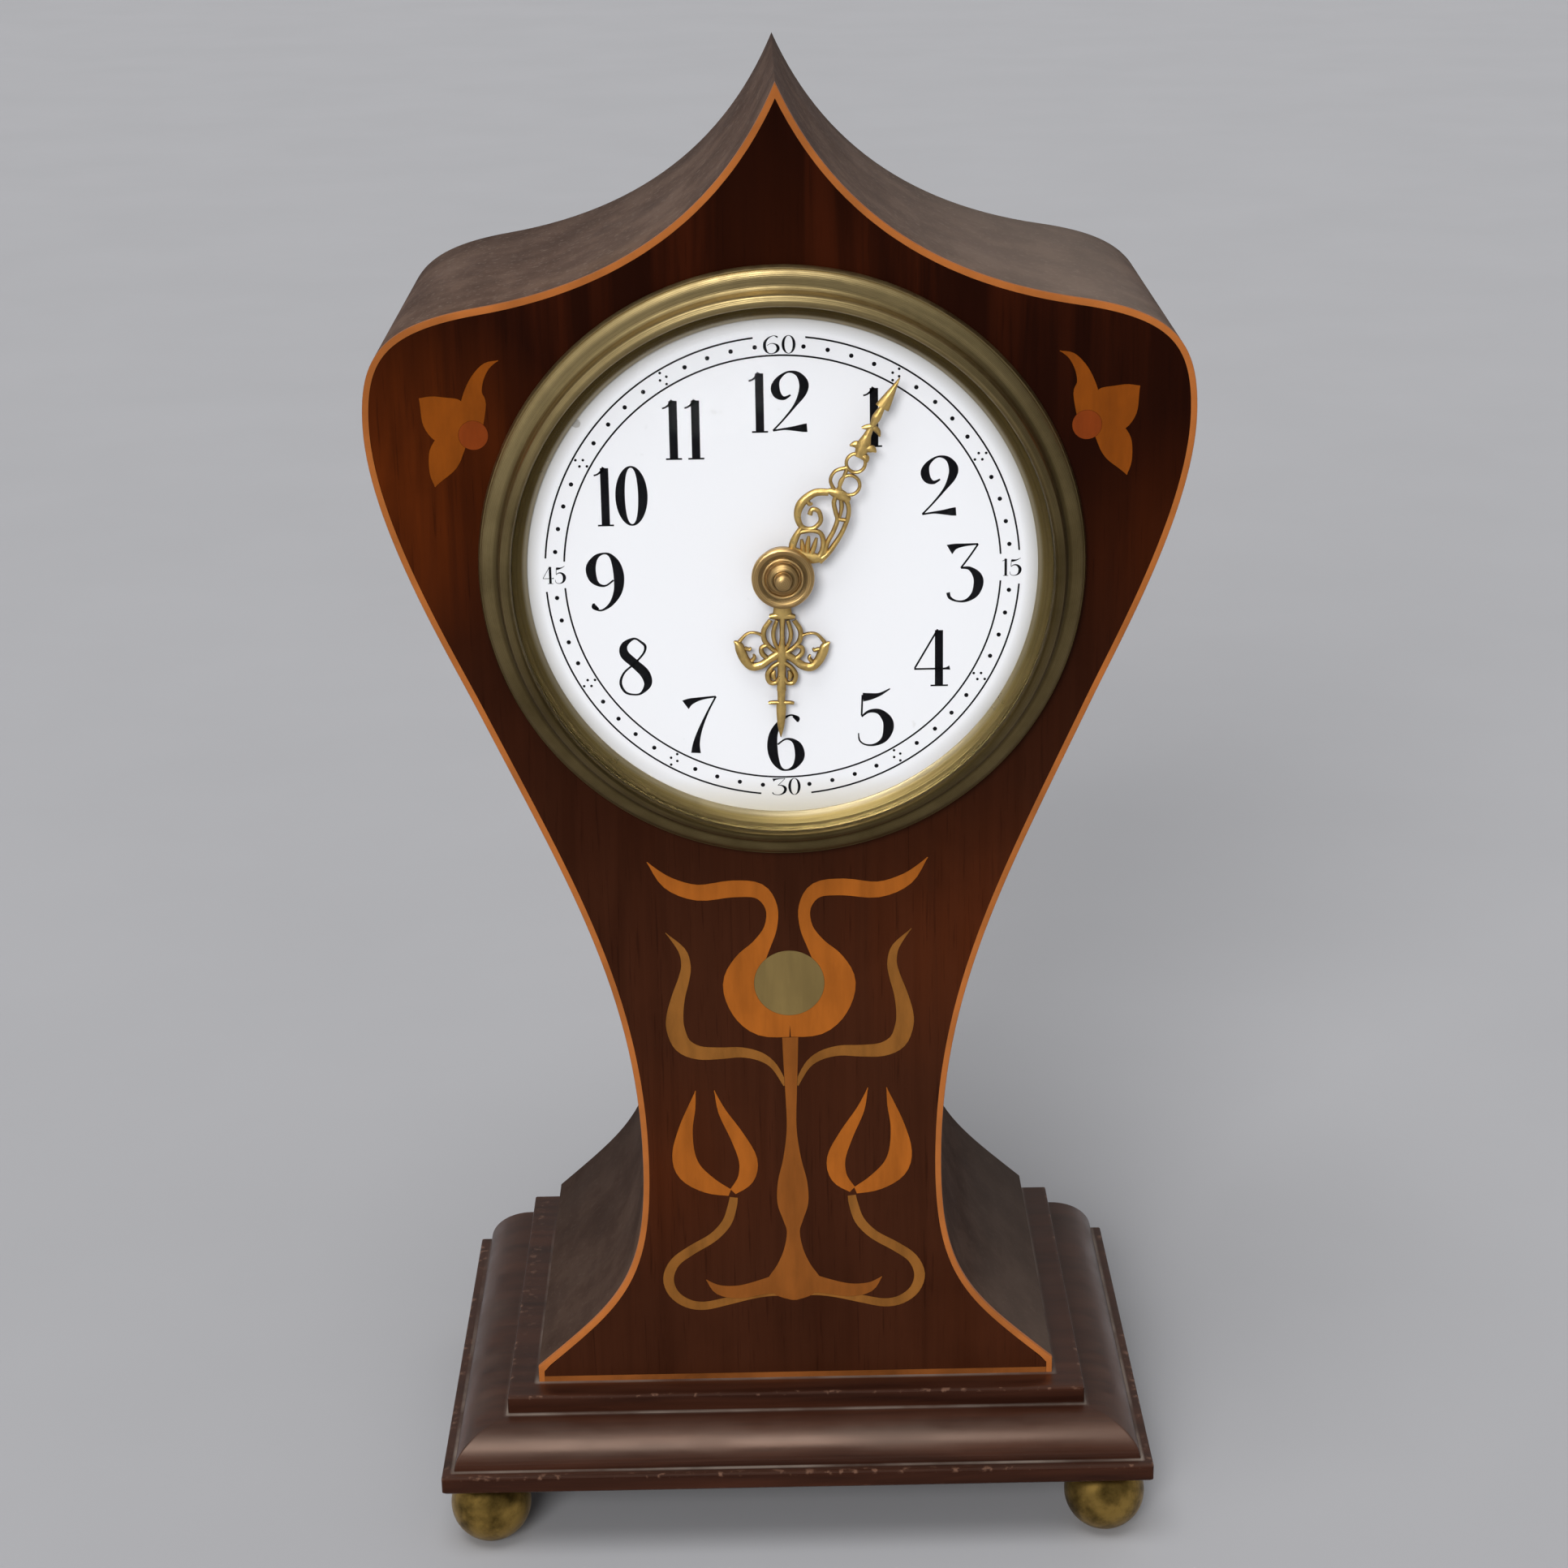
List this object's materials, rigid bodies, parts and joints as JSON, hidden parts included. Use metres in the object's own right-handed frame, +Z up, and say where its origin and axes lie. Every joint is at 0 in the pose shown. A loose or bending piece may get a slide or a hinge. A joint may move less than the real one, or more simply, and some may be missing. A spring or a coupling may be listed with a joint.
{
  "type": "balloon clock",
  "caption": "Waisted balloon-shaped mantel clock with inlaid wooden case, moulded plinth on ball feet, round enamel dial and rear-wound drum movement.",
  "frame": {"origin": "on the floor under the middle of the plinth", "axes": "+Z up, the dial faces -Y, +X to the right of someone who reads the dial"},
  "size_m": [0.1408, 0.093, 0.267],
  "materials": {
    "mahogany": "french polished",
    "carcase_wood": "plain planed",
    "boxwood": "french polished",
    "amber_inlay": "french polished",
    "olive_inlay": "french polished",
    "grey_inlay": "french polished",
    "red_inlay": "french polished",
    "brass": "aged lacquer",
    "gilt": "gilt",
    "steel": "polished",
    "blued_steel": "blued",
    "enamel": "fired enamel",
    "glass": "clear"
  },
  "bodies": {
    "case": {"front_board": "carcase_wood", "front_veneer": "mahogany", "side_left": "mahogany", "side_right": "mahogany", "back_board": "carcase_wood", "bottom_board": "carcase_wood", "stringing_left": "boxwood", "stringing_right": "boxwood", "stringing_bottom": "boxwood", "inlay_tulips": "amber_inlay", "inlay_tulip_eye": "grey_inlay", "inlay_stem": "amber_inlay", "inlay_tendrils": "olive_inlay", "inlay_corner_petals": "amber_inlay", "inlay_corner_berries": "red_inlay", "plinth_top": "mahogany", "plinth_core": "carcase_wood", "moulding_front": "mahogany", "moulding_left": "mahogany", "moulding_right": "mahogany", "plinth_bottom": "mahogany", "foot_front_left": "brass", "foot_front_right": "brass", "foot_back_left": "brass", "foot_back_right": "brass", "bezel": "brass", "glass": "glass", "sight_ring": "gilt", "dial": "enamel", "drum": "brass", "front_plate": "brass", "back_plate": "brass", "pillars": "brass", "hairspring": "blued_steel", "rear_ring": "brass", "tie_screws": "steel", "hinge_pin": "steel"},
    "minute_hand": {"minute_hand": "gilt", "hand_boss": "brass", "centre_arbor": "steel", "setting_knob": "brass"},
    "hour_hand": {"hour_hand": "gilt", "hour_wheel": "brass"},
    "minute_wheel": {"minute_wheel": "brass"},
    "barrel": {"barrel": "brass", "barrel_cap": "brass", "mainspring": "blued_steel"},
    "winding": {"winding_arbor": "steel", "ratchet_wheel": "steel", "winding_key": "steel"},
    "click": {"click": "steel"},
    "intermediate_wheel": {"intermediate_wheel": "brass"},
    "centre_wheel": {"centre_wheel": "brass"},
    "third_wheel": {"third_wheel": "brass"},
    "fourth_wheel": {"fourth_wheel": "brass"},
    "escape_wheel": {"escape_wheel": "steel"},
    "pallet_lever": {"pallet_lever": "steel"},
    "balance": {"balance": "brass"},
    "regulator": {"regulator": "steel"},
    "back_door": {"back_door": "brass"}
  },
  "joints": [
    {"name": "minute_hand_turn", "type": "hinge", "parent": "case", "child": "minute_hand", "pos_m": [0, 0.00095, 0.1854], "axis": [0, 1, 0], "continuous": true},
    {"name": "hour_hand_turn", "type": "hinge", "parent": "case", "child": "hour_hand", "pos_m": [0, 0.00095, 0.1854], "axis": [0, 1, 0], "continuous": true},
    {"name": "minute_wheel_turn", "type": "hinge", "parent": "case", "child": "minute_wheel", "pos_m": [-0.00707, 0.00095, 0.17833], "axis": [0, 1, 0], "continuous": true},
    {"name": "fourth_wheel_turn", "type": "hinge", "parent": "case", "child": "fourth_wheel", "pos_m": [-0.00724, 0.00095, 0.20369], "axis": [0, 1, 0], "continuous": true},
    {"name": "escape_wheel_turn", "type": "hinge", "parent": "case", "child": "escape_wheel", "pos_m": [0.00262, 0.00095, 0.20282], "axis": [0, 1, 0], "continuous": true},
    {"name": "third_wheel_turn", "type": "hinge", "parent": "case", "child": "third_wheel", "pos_m": [-0.00912, 0.00095, 0.19305], "axis": [0, 1, 0], "continuous": true},
    {"name": "centre_wheel_turn", "type": "hinge", "parent": "case", "child": "centre_wheel", "pos_m": [0, 0.00095, 0.1854], "axis": [0, 1, 0], "continuous": true},
    {"name": "intermediate_wheel_turn", "type": "hinge", "parent": "case", "child": "intermediate_wheel", "pos_m": [0.01593, 0.00095, 0.17816], "axis": [0, 1, 0], "continuous": true},
    {"name": "barrel_turn", "type": "hinge", "parent": "case", "child": "barrel", "pos_m": [0, 0.00095, 0.1664], "axis": [0, 1, 0], "continuous": true},
    {"name": "winding_turn", "type": "hinge", "parent": "case", "child": "winding", "pos_m": [0, 0.00095, 0.1664], "axis": [0, -1, 0], "range_deg": [0, 2304]},
    {"name": "click_lift", "type": "hinge", "parent": "case", "child": "click", "pos_m": [0.0112, 0.00095, 0.1676], "axis": [0, 1, 0], "range_deg": [0, 12], "stiffness_Nm_per_rad": 0.002},
    {"name": "pallet_rock", "type": "hinge", "parent": "case", "child": "pallet_lever", "pos_m": [0.00892, 0.00095, 0.20171], "axis": [0, 1, 0], "range_deg": [-5, 5]},
    {"name": "balance_swing", "type": "hinge", "parent": "case", "child": "balance", "pos_m": [0.01779, 0.00095, 0.20015], "axis": [0, 1, 0], "range_deg": [-270, 270], "stiffness_Nm_per_rad": 0.000032},
    {"name": "regulator_turn", "type": "hinge", "parent": "case", "child": "regulator", "pos_m": [0.01779, 0.00095, 0.20015], "axis": [0, 1, 0], "range_deg": [-25, 25]},
    {"name": "back_door_swing", "type": "hinge", "parent": "case", "child": "back_door", "pos_m": [-0.0489, 0.0445, 0.1854], "axis": [0, 0, 1], "range_deg": [0, 110]}
  ],
  "couplings": [
    {"joint": "hour_hand_turn", "follows": "minute_hand_turn", "ratio": 0.083333},
    {"joint": "minute_wheel_turn", "follows": "minute_hand_turn", "ratio": -0.33333},
    {"joint": "escape_wheel_turn", "follows": "fourth_wheel_turn", "ratio": -10},
    {"joint": "third_wheel_turn", "follows": "fourth_wheel_turn", "ratio": -0.125},
    {"joint": "centre_wheel_turn", "follows": "fourth_wheel_turn", "ratio": 0.016667},
    {"joint": "intermediate_wheel_turn", "follows": "fourth_wheel_turn", "ratio": -0.0027778},
    {"joint": "barrel_turn", "follows": "fourth_wheel_turn", "ratio": 0.00055556}
  ]
}
